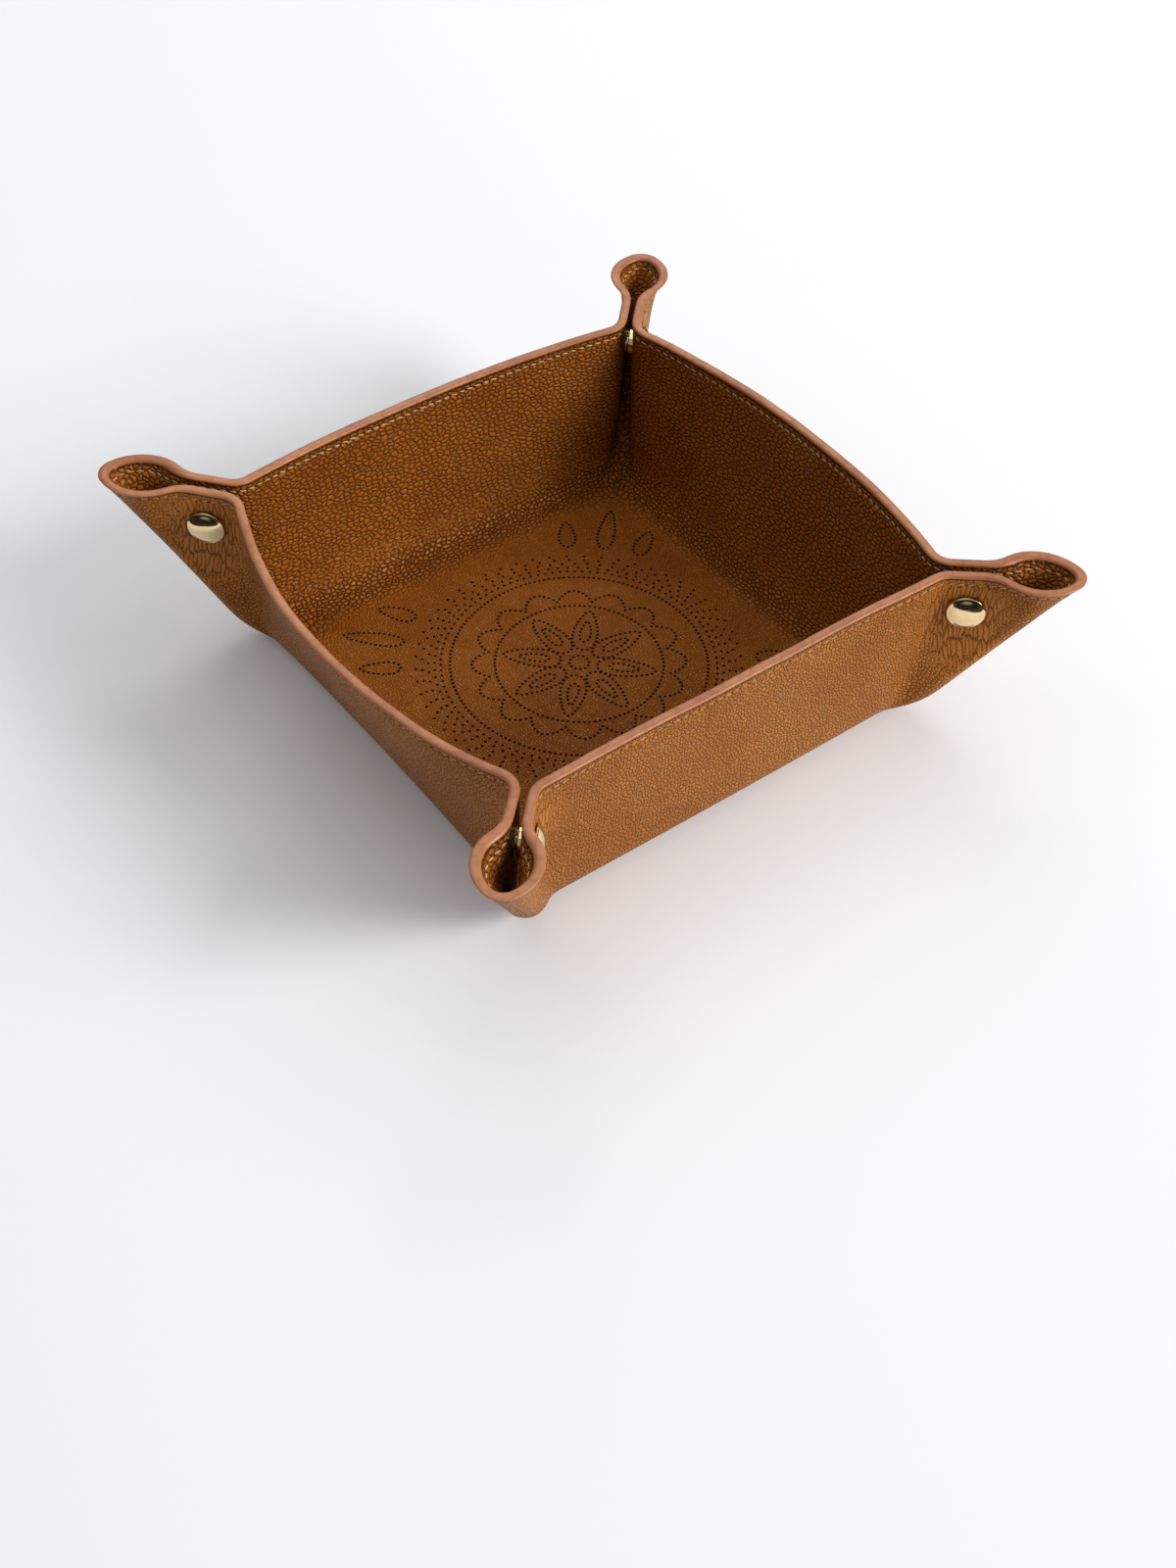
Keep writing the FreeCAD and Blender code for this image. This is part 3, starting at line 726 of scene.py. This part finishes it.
def mark_sheet(bm, grid, ways_out):
    """Where each vertex lay in the flat sheet, and its depth below the rim. A ring round the tray
    was a square there, with an ear's tip at each corner and the middle of a wall on each side. Its
    way out from the middle is given, or on a wall, where it is None, comes from its height."""
    sheet = bm.verts.layers.float_vector["sheet"]
    for ring, out in zip(grid, ways_out):
        place = np.array([vert.co for vert in ring])
        run = run_round(place)
        if out is None:
            out = FLOOR_HALF + BEND_LENGTH + place[:, 2] - BEND_TOP
        out = np.broadcast_to(out, len(ring))
        for wall in range(4):
            strip = (np.arange(AROUND + 1) + wall * AROUND + EAR_STEPS // 2) % len(ring)
            ends = np.concatenate([[0.0], np.cumsum(run[strip[:-1]])])
            middle = ends[AROUND // 2]
            along = np.interp(ends, [0.0, middle, ends[-1]], [-1.0, 0.0, 1.0])
            way = math.cos(math.pi / 2 * wall), math.sin(math.pi / 2 * wall)
            for i, part in zip(strip[:-1], along):
                ring[i][sheet] = (out[i] * (part * way[0] + way[1]), out[i] * (part * way[1] - way[0]),
                                  rim[i] - place[i, 2])


def make_hide(name, face_inset, glued_inset, show, crown, finish, nodes):
    """One hide as a closed solid. Only the rings of its walls are cut into pieces that bend."""
    face = skin_rings(face_inset, show, FACE_BEND, FINE_FLOOR, SEAM_DEPTHS, crown)
    glued = skin_rings(glued_inset, 0, GLUED_BEND, COARSE_FLOOR, GLUED_DEPTHS, 0.0)
    bm, grid = rings_to_mesh(face + glued[::-1], True)
    mark_pull(bm)
    way_out = [FLOOR_HALF * share for share in FINE_FLOOR]
    way_out += [FLOOR_HALF + BEND_LENGTH * step / FACE_BEND for step in range(FACE_BEND)]
    mark_sheet(bm, grid, way_out + [None] * (len(face) - len(way_out)))
    wall_rings = len(way_out), len(face) + len(glued) - len(COARSE_FLOOR) - GLUED_BEND
    cut_into_pieces(bm, grid, wall_rings, name, finish, nodes, show < 0)


def hide_nodes(name):
    """CAD nodes of a hide: those that stay with the tray, then each flap's own."""
    fixed = [f"{name}_leather"] + [f"{name}_ear_{corner}" for corner in CORNERS]
    return [fixed] + [[f"{name}_flap_{corner}"] for corner in CORNERS]


make_hide("outer_hide", 0.0, HIDE, 1, 0.0, outer_leather, hide_nodes("outer"))
make_hide("lining_hide", BOTH_HIDES, HIDE, -1, LINING_CROWN, lining_leather,
          hide_nodes("lining"))

# %% [markdown]
# ## Painted edge
# The raw edge of the two hides is rounded off and painted in several coats, which leaves a smooth
# terracotta bead a little proud of both faces. It could be a bevelled curve, but a curve has no way
# to keep level with a leaning wall. A few more rings over the rim follow it.

# %% Making the painted edge
EDGE_SECTION = [(-0.72, 0.10), (-0.64, -0.04), (-0.4, -0.09), (-0.1, -0.05), (0.14, 0.14), (0.29, 0.6),
                (0.34, 1.4), (0.29, 2.2), (0.14, 2.66), (-0.1, 2.85), (-0.4, 2.89), (-0.64, 2.84),
                (-0.72, 2.7)]       # millimetres above the rim, and in from the outside


def painted_finish():
    finish, shader = new_finish("edge_paint")
    brushed, cloud = cloudy(finish, 420.0, 4.0), cloudy(finish, 45.0, 3.0)
    coats = mix_colour(finish, remap(finish, cloud, 0.35, 0.65), tint(170, 102, 60), tint(188, 120, 74))
    streaks = remap(finish, brushed, 0.4, 0.75, 0.0, 0.35)
    return fill(finish, shader, {
        "Base Color": mix_colour(finish, streaks, coats, tint(126, 72, 42)),
        "Roughness": remap(finish, brushed, 0.3, 0.7, 0.34, 0.5),
        "Normal": raised(finish, brushed, 0.06 * MM, 0.5)})


edge_rings = []
for above, inset in EDGE_SECTION:
    height = rim + above * MM
    place = plan(height, inset * MM)
    wave = soft_move(plan(height, 0.0), height)[0]
    edge_rings.append(np.column_stack([place + outward(place) * wave[:, None], height]))
bm, grid = rings_to_mesh(edge_rings, False)
bmesh.ops.bridge_loops(bm, edges=ring_edges(bm, grid[0]) + ring_edges(bm, grid[-1]))
bmesh.ops.recalc_face_normals(bm, faces=bm.faces)
cut_into_pieces(bm, grid + grid[:1], (0, len(grid) + 1), "edge_paint", painted_finish(),
                [], True)

# %% [markdown]
# ## Seams
# One row of thread runs round the rim, below the painted edge, and shows on both faces as short
# slanting stitches that sink at their ends into needle holes. The top thread, inside, is paler than
# the bobbin thread outside. A stitch is a small ball drawn out along the seam. It is placed by a
# matrix whose axes point along the seam, up and out.

# %% Thread
STITCH_PITCH = 3.1 * MM
STITCH_HALF = (1.25 * MM, 0.30 * MM, 0.36 * MM)     # along, up the wall, out of it
STITCH_SINK = 0.06 * MM
STITCH_SLANT = math.radians(11)
NEEDLE_HOLE = 0.34 * MM
SEAM_SPAN = 0.5 * MM                # the wall's rise is measured this far above and below the seam


def thread_finish(name, dark, light):
    finish, shader = new_finish(name)
    ply = add_node(finish, "ShaderNodeTexWave", {"Vector": own_place(finish), "Scale": 900.0,
                   "Distortion": 2.0}, "Fac", bands_direction="DIAGONAL")
    aged = mix_colour(finish, remap(finish, cloudy(finish, 160.0, 2.0), 0.35, 0.65), dark, light)
    twist = remap(finish, ply, 0.2, 0.8, 0.0, 0.35)
    return fill(finish, shader, {
        "Base Color": mix_colour(finish, twist, aged, tint(132, 78, 34)),
        "Roughness": remap(finish, ply, 0.0, 1.0, 0.55, 0.75),
        "Normal": raised(finish, ply, 0.08 * MM, 0.8)})


# Dots and needle holes are painted dark: the shade inside a hole, on a small plug or ball that stands in for
# it.
def hole_shade_finish():
    finish, shader = new_finish("pierced")
    hole_shade_mottle = cloudy(finish, 900.0, 2.0)
    return fill(finish, shader, {
        "Base Color": mix_colour(finish, remap(finish, hole_shade_mottle, 0.3, 0.7), tint(20, 8, 3), tint(38, 18, 8)),
        "Roughness": remap(finish, hole_shade_mottle, 0.3, 0.7, 0.75, 0.95),
        "Specular IOR Level": 0.1})


def seam_places(show, inset):
    """Stations, places, and directions along, up and out, at even steps along a seam."""
    low, seam, high = [wall_ring(inset, rim - depth, show)
                       for depth in (SEAM_DEPTH + SEAM_SPAN, SEAM_DEPTH, SEAM_DEPTH - SEAM_SPAN)]
    run = run_round(seam)
    ends = np.concatenate([[0.0], np.cumsum(run)])
    count = round(ends[-1] / STITCH_PITCH)
    for step in range(count):
        here = ends[-1] * step / count
        i = int(np.searchsorted(ends, here, side="right") - 1)
        j, part = (i + 1) % len(seam), (here - ends[i]) / run[i]
        along = Vector(seam[j] - seam[i]).normalized()
        rise = Vector((high[i] - low[i]) * (1 - part) + (high[j] - low[j]) * part)
        out = along.cross(rise).normalized() * show
        yield i, Vector(seam[i] + (seam[j] - seam[i]) * part), along, out.cross(along) * show, out


SIDES = {1: ("outside", 0.0), -1: ("inside", BOTH_HIDES)}
BALL = {"u_segments": 6, "v_segments": 4}
hole_shade = hole_shade_finish()
finishes = {"thread_outside": thread_finish("tan_thread", tint(200, 138, 74), tint(220, 164, 104)),
            "thread_inside": thread_finish("pale_thread", tint(216, 172, 112), tint(240, 208, 158)),
            "needle_holes": hole_shade}
sewn = {}                           # kind and flap, and their mesh
for show, (side, inset) in SIDES.items():
    for i, place, along, up, out in seam_places(show, inset):
        flap = int(station_flap[i])
        # A needle hole is a small ball painted dark with the shade inside the hole.
        hole = place + along * STITCH_PITCH / 2 - out * NEEDLE_HOLE / 2
        bm = sewn.setdefault(("needle_holes", flap), bmesh.new())
        bmesh.ops.create_uvsphere(bm, radius=NEEDLE_HOLE, matrix=Matrix.Translation(hole), **BALL)
        bm = sewn.setdefault((f"thread_{side}", flap), bmesh.new())
        slant = Matrix.Rotation(STITCH_SLANT * show, 3, out)
        axes = Matrix((slant @ along, slant @ up, out)).transposed().to_4x4()
        shape = Matrix.Diagonal((*STITCH_HALF, 1.0))
        laid = Matrix.Translation(place - out * STITCH_SINK) @ axes @ shape
        bmesh.ops.create_uvsphere(bm, radius=1.0, matrix=laid @ Matrix.Rotation(math.pi / 2, 4, "Y"),
                                  **BALL)
for (kind, flap), bm in sewn.items():
    corner = CORNERS[flap] if flap >= 0 else "tray"
    piece = mesh_object(bm, f"{kind}_{corner}", finishes[kind])
    if flap >= 0:
        start, end = blend_line(flap)
        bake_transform(piece, "tray", f"flap_{corner}", start=start, end=end)
    else:
        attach(piece, "tray")

# %% [markdown]
# ## Pierced pattern
# The floor of the lining is decorated with pierced dots. Here they make a plain rosette: rings,
# eight petals, a scalloped border, rings of dots that thin out, and leaves towards each corner.
# Every dot is a small plug let into the hide and painted dark as the shade inside a hole, because real
# holes would break the floor's mesh into thousands of small faces.

# %% Where the dots go
DOT_RADIUS = 0.52 * MM
DOT_PITCH = 1.7 * MM
DOT_DEPTH = 0.30 * MM               # the plug's height, and its middle's depth below the floor
DOT_SINK = 0.10 * MM
DOT_TAPER = 0.8
CURVE_STEPS = 400


def dotted(curve, spread):
    """Points at about even steps along a curve, given as a function of 0 to 1."""
    fine = np.array([curve(step / CURVE_STEPS) for step in range(CURVE_STEPS + 1)])
    ends = np.concatenate([[0.0], np.cumsum(np.linalg.norm(np.diff(fine, axis=0), axis=1))])
    at = np.linspace(0, ends[-1], round(ends[-1] / (DOT_PITCH * spread)) + 1)[:-1]
    return np.column_stack([np.interp(at, ends, fine[:, axis]) for axis in (0, 1)])


def circle(radius, wave=0.0, count=0):
    """A circle, with count scallops of height wave where they are given."""
    def curve(t):
        turn = 2 * math.pi * t
        r = radius + wave * abs(math.sin(count * turn / 2))
        return r * math.cos(turn), r * math.sin(turn)
    return curve


def leaf(near, far, width, turn):
    """A leaf between two distances from the middle, pointing at an angle."""
    def curve(t):
        side = 2 * math.pi * t
        along = (near + far) / 2 - (far - near) / 2 * math.cos(side)
        aside = width * math.sin(side) * (0.75 + 0.25 * math.cos(side))
        return (along * math.cos(turn) - aside * math.sin(turn),
                along * math.sin(turn) + aside * math.cos(turn))
    return curve


lines = [circle(3.2 * MM), circle(27.5 * MM), circle(30 * MM, 5.0 * MM, 16), circle(42 * MM)]
for petal in range(8):
    lines.append(leaf(6 * MM, 25 * MM, 5.2 * MM, math.pi / 4 * petal))
    lines.append(leaf(10 * MM, 20 * MM, 2.2 * MM, math.pi / 4 * petal))
for corner in range(4):
    for lean, far in ((-0.21, 71), (0.0, 78), (0.21, 71)):
        lines.append(leaf(58 * MM, far * MM, 3.6 * MM, corner_turn[corner] + lean))
dots = np.concatenate([dotted(curve, 1.0) for curve in lines]
                      + [dotted(circle((43 + 2 * step) * MM), 1 + 0.5 * step) for step in range(1, 6)])
print("pierced dots:", len(dots))

# %% Making the dots
bm = bmesh.new()
for x, y in dots:
    top = floor_height(x, y, BOTH_HIDES, LINING_CROWN)
    bmesh.ops.create_cone(bm, cap_ends=True, segments=8, radius1=DOT_RADIUS * DOT_TAPER,
                          radius2=DOT_RADIUS, depth=DOT_DEPTH,
                          matrix=Matrix.Translation((x, y, top - DOT_SINK)))
piece = mesh_object(bm, "pierced_dots", hole_shade)
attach(piece, "tray")

# %% [markdown]
# ## Press studs
# Each ear is pinched by a press stud: a domed cap and its socket on one side, a stud and its flatter
# head on the other. Cap and head are pressed from sheet brass, so they are bodies of revolution with
# a rolled edge. A profile spun round its axis gives that, where a flattened sphere would have no
# edge. Socket, stud and ring spring keep their CAD shapes and get a finish.

# %% Polished brass and spring steel
def metal_finish(name, bright, dull, smooth, worn):
    finish, shader = new_finish(name)
    cloud, hairs = cloudy(finish, 300.0, 4.0), cloudy(finish, 2200.0, 2.0)
    return fill(finish, shader, {
        "Base Color": mix_colour(finish, remap(finish, cloud, 0.35, 0.7), bright, dull),
        "Metallic": 1.0,
        "Roughness": remap(finish, hairs, 0.35, 0.75, smooth, worn),
        "Normal": raised(finish, cloud, 0.02 * MM, 0.3)})


brass = metal_finish("polished_brass", tint(246, 222, 176), tint(238, 208, 154), 0.07, 0.16)
steel = metal_finish("spring_steel", tint(196, 198, 202), tint(168, 172, 178), 0.22, 0.36)

# %% Caps and heads
CAP_SIZE = 6.0 * MM, 2.6 * MM       # radius and height
HEAD_SIZE = 5.4 * MM, 1.5 * MM
ROLLED_EDGE = 0.45 * MM             # radius of the rolled edge
EDGE_TUCK = 0.5 * MM                # how far the sheet goes on into the leather
CROWN_POWER = 2.3                   # over 2, the dome is flatter in the middle than a ball
CROWN_STEPS, EDGE_STEPS = 7, 5
TURN_STEPS = 48


def dome(radius, height):
    """Profile of a pressed dome, from its middle to under its rolled edge."""
    flat = radius - ROLLED_EDGE
    fall = height - 2 * ROLLED_EDGE
    crown = [flat * step / CROWN_STEPS for step in range(CROWN_STEPS + 1)]
    profile = [(r, height - fall * (r / flat) ** CROWN_POWER) for r in crown]
    for step in range(1, EDGE_STEPS + 1):
        turn = math.pi / 2 * (1 - 2 * step / EDGE_STEPS)
        profile.append((flat + ROLLED_EDGE * math.cos(turn), ROLLED_EDGE * (1 + math.sin(turn))))
    return profile + [(radius - 2 * ROLLED_EDGE, -EDGE_TUCK)]


def turned_piece(name, profile, corner, side):
    """A profile spun into a brass piece and set on one side of an ear, over its press stud."""
    bm = bmesh.new()
    verts = [bm.verts.new((r, 0.0, h)) for r, h in profile]
    edges = [bm.edges.new(pair) for pair in zip(verts, verts[1:])]
    bmesh.ops.spin(bm, geom=verts + edges, cent=(0, 0, 0), axis=(0, 0, 1), angle=2 * math.pi,
                   steps=TURN_STEPS, use_merge=True)
    bmesh.ops.remove_doubles(bm, verts=bm.verts, dist=0.001 * MM)
    bmesh.ops.holes_fill(bm, edges=[edge for edge in bm.edges if edge.is_boundary])
    bmesh.ops.recalc_face_normals(bm, faces=bm.faces)
    out = Vector(corner_v[corner] * side).to_3d()
    reach = Vector(corner_u[corner]).to_3d()
    axes = Matrix((reach, out.cross(reach), out)).transposed().to_4x4()
    place = reach * SNAP_REACH + out * (SNAP_GAP / 2 + BOTH_HIDES) + Vector((0, 0, SNAP_HEIGHT))
    bmesh.ops.transform(bm, matrix=Matrix.Translation(place) @ axes, verts=bm.verts)
    piece = mesh_object(bm, name, brass)
    return piece


for corner, place in enumerate(CORNERS):
    cap = turned_piece(f"cap_{place}", dome(*CAP_SIZE), corner, CAP_SIDE[place])
    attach(cap, "tray")
    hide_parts(f"snap_cap_{place}")
    head = turned_piece(f"head_{place}", dome(*HEAD_SIZE), corner, -CAP_SIDE[place])
    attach(head, f"flap_{place}")
    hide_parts(f"snap_head_{place}")
    for kind, finish in (("socket", brass), ("stud", brass), ("spring", steel)):
        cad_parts[f"snap_{kind}_{place}"].data.materials[0] = finish

# %% [markdown]
# ## Studio
# The tray stands on a plain white floor. A large soft lamp on the right is the key light, another
# overhead fills, a weak one behind puts a sheen on the tray's floor, and the world gives the rest. A
# dark ring with a low wall lies round the set, as boards do in a photographer's studio. Only
# reflections meet it: polished metal looks like metal when it has something dark to mirror.

# %% Floor, boards and world
FLOOR_SIZE = 6.0                    # half the floor's width
FLOOR_DROP = 0.05 * MM
FLOOR_GLOW = 0.05
BOARD_RINGS = ((0.24, 0.0), (1.44, 0.0), (1.44, 0.42))      # radius and height
BOARD_SIDES = 48
WORLD_LIGHT = 0.30


def plain_finish(name, colour, glow):
    """A dull even colour. Its glow is only for the camera, mirrors and glass: it lights nothing."""
    finish, shader = new_finish(name)
    seen = 0.0
    for ray in ("Is Camera Ray", "Is Glossy Ray", "Is Transmission Ray"):
        seen = maths(finish, "MAXIMUM", add_node(finish, "ShaderNodeLightPath", {}, ray), seen)
    return fill(finish, shader, {
        "Base Color": colour,
        "Roughness": 0.9,
        "Specular IOR Level": 0.2,
        "Emission Color": colour,
        "Emission Strength": maths(finish, "MULTIPLY", seen, glow)})


bm = bmesh.new()
bmesh.ops.create_grid(bm, x_segments=1, y_segments=1, size=FLOOR_SIZE,
                      matrix=Matrix.Translation((0, 0, -FLOOR_DROP)))
mesh_object(bm, "studio_floor", plain_finish("floor_white", tint(249, 250, 251), FLOOR_GLOW))

turns = 2 * math.pi / BOARD_SIDES * np.arange(BOARD_SIDES)
around = np.column_stack([np.cos(turns), np.sin(turns)])
board_rings = [np.column_stack([radius * around, np.full(BOARD_SIDES, height)])
               for radius, height in BOARD_RINGS]
bm, grid = rings_to_mesh(board_rings, False)
boards = mesh_object(bm, "studio_boards", plain_finish("board_black", tint(40, 34, 30), 0.0))
boards.visible_camera = boards.visible_diffuse = boards.visible_shadow = False

world = bpy.data.worlds.new("studio")
bpy.context.scene.world = world
world.use_nodes = True
sky = world.node_tree.nodes["Background"]
sky.inputs["Color"].default_value = tint(248, 250, 253)
sky.inputs["Strength"].default_value = WORLD_LIGHT

# %% Lamps and camera
LAMP_AIM = Vector((0, 0, 0.02))
# Turned aside, looking down, and tilted.
YAW, PITCH, ROLL = math.radians(-38.443), math.radians(46.757), math.radians(2.056)
CAMERA_PLACE = (-0.29554, -0.37914, 0.4564)
SENSOR, LENS = 36.0, 46.54          # millimetres, as cameras count them


def soft_lamp(name, place, size, power):
    """A square lamp of a size in metres and a power in watts, turned towards the tray."""
    lamp = bpy.data.lights.new(name, "AREA")
    lamp.size = size
    lamp.energy = power
    made = bpy.data.objects.new(name, lamp)
    away = (Vector(place) - LAMP_AIM).normalized()
    made.matrix_world = Matrix.Translation(place) @ away.to_track_quat("Z", "Y").to_matrix().to_4x4()
    bpy.context.collection.objects.link(made)


soft_lamp("key_lamp", (1.55, -2.21, 1.33), 1.2, 78.0)
soft_lamp("back_lamp", (0.75, 0.95, 1.0), 1.0, 6.0)
soft_lamp("top_lamp", (-0.1, 0.25, 1.3), 1.2, 3.5)

lens = bpy.data.cameras.new("camera")
lens.sensor_fit = "VERTICAL"
lens.sensor_height = SENSOR
lens.lens = LENS
camera = bpy.data.objects.new("camera", lens)
camera.matrix_world = (Matrix.Translation(CAMERA_PLACE) @ Matrix.Rotation(YAW, 4, "Z")
                       @ Matrix.Rotation(math.pi / 2 - PITCH, 4, "X") @ Matrix.Rotation(ROLL, 4, "Z"))
bpy.context.collection.objects.link(camera)
bpy.context.scene.camera = camera
bpy.context.scene.view_settings.view_transform = "Standard"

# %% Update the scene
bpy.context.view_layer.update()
